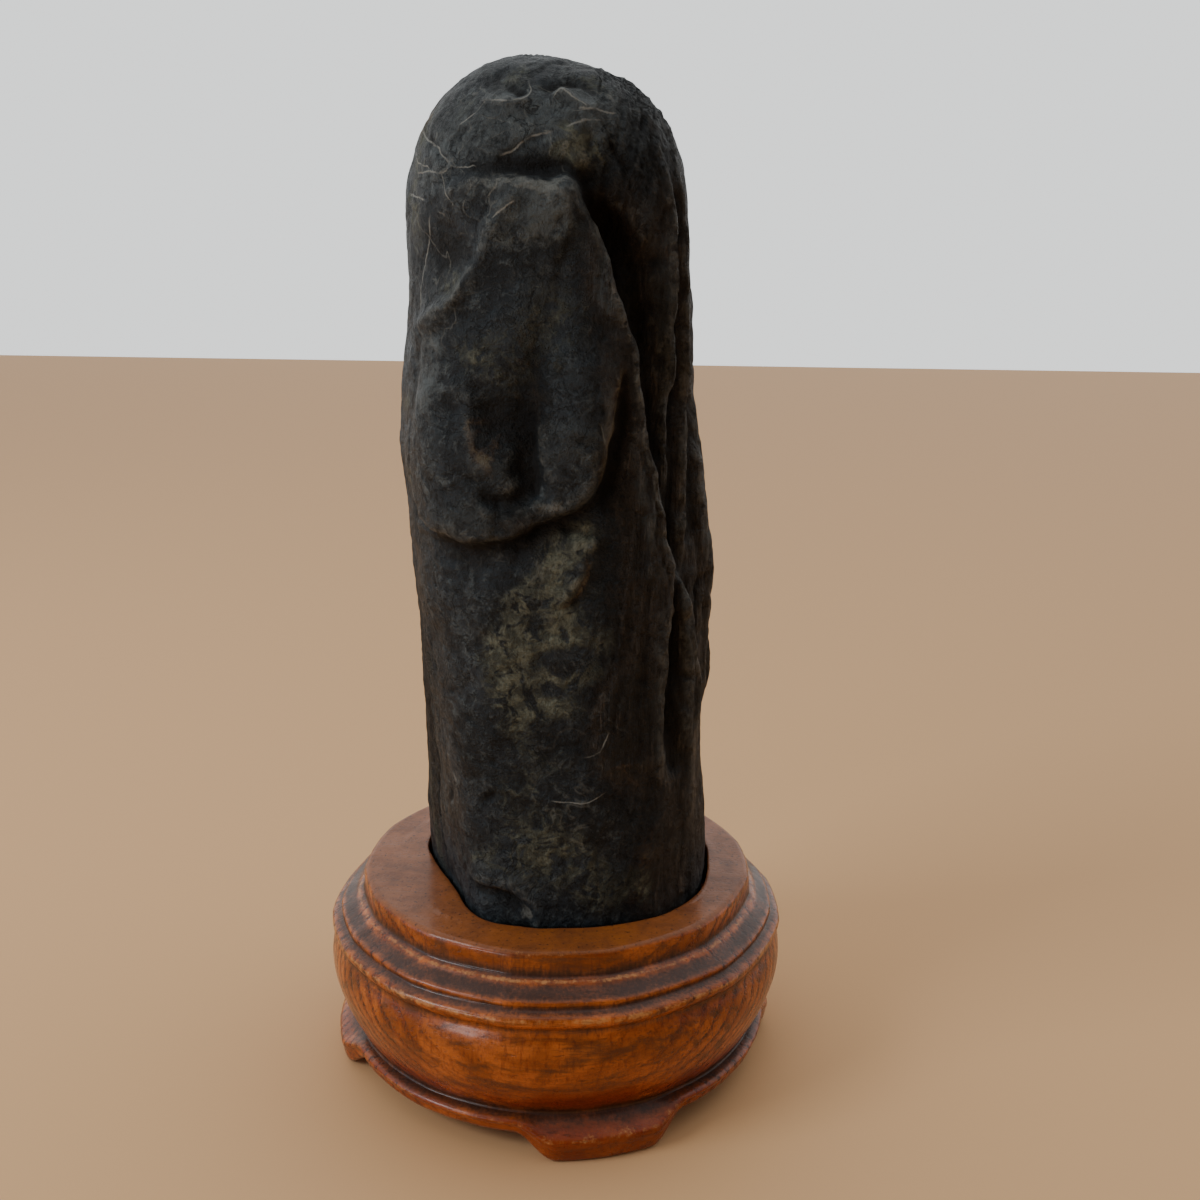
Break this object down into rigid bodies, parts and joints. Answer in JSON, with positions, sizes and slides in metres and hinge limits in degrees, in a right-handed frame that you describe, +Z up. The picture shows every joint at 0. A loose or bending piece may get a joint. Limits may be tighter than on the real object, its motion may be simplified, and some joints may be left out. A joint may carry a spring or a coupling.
{
  "type": "scholar's rock on wooden stand",
  "caption": "Tall dark viewing stone with a domed top and draped front folds, standing upright in a round moulded wooden stand with feet.",
  "frame": {"origin": "on the axis of the round stand, at the level of the table its feet rest on", "axes": "+Z up through the standing stone; -Y towards the front, where the stone's draped fold shows; +X to the viewer's right"},
  "size_m": [0.1228, 0.1228, 0.255],
  "materials": {
    "dark_stone": "waxed blue-black stone with pale veins and olive mottling, satin",
    "stained_wood": "orange-brown stained and varnished, gloss on the belly, dull dark stain on the bands"
  },
  "bodies": {
    "root": {"stone": "dark_stone", "stand": "stained_wood"}
  },
  "joints": []
}
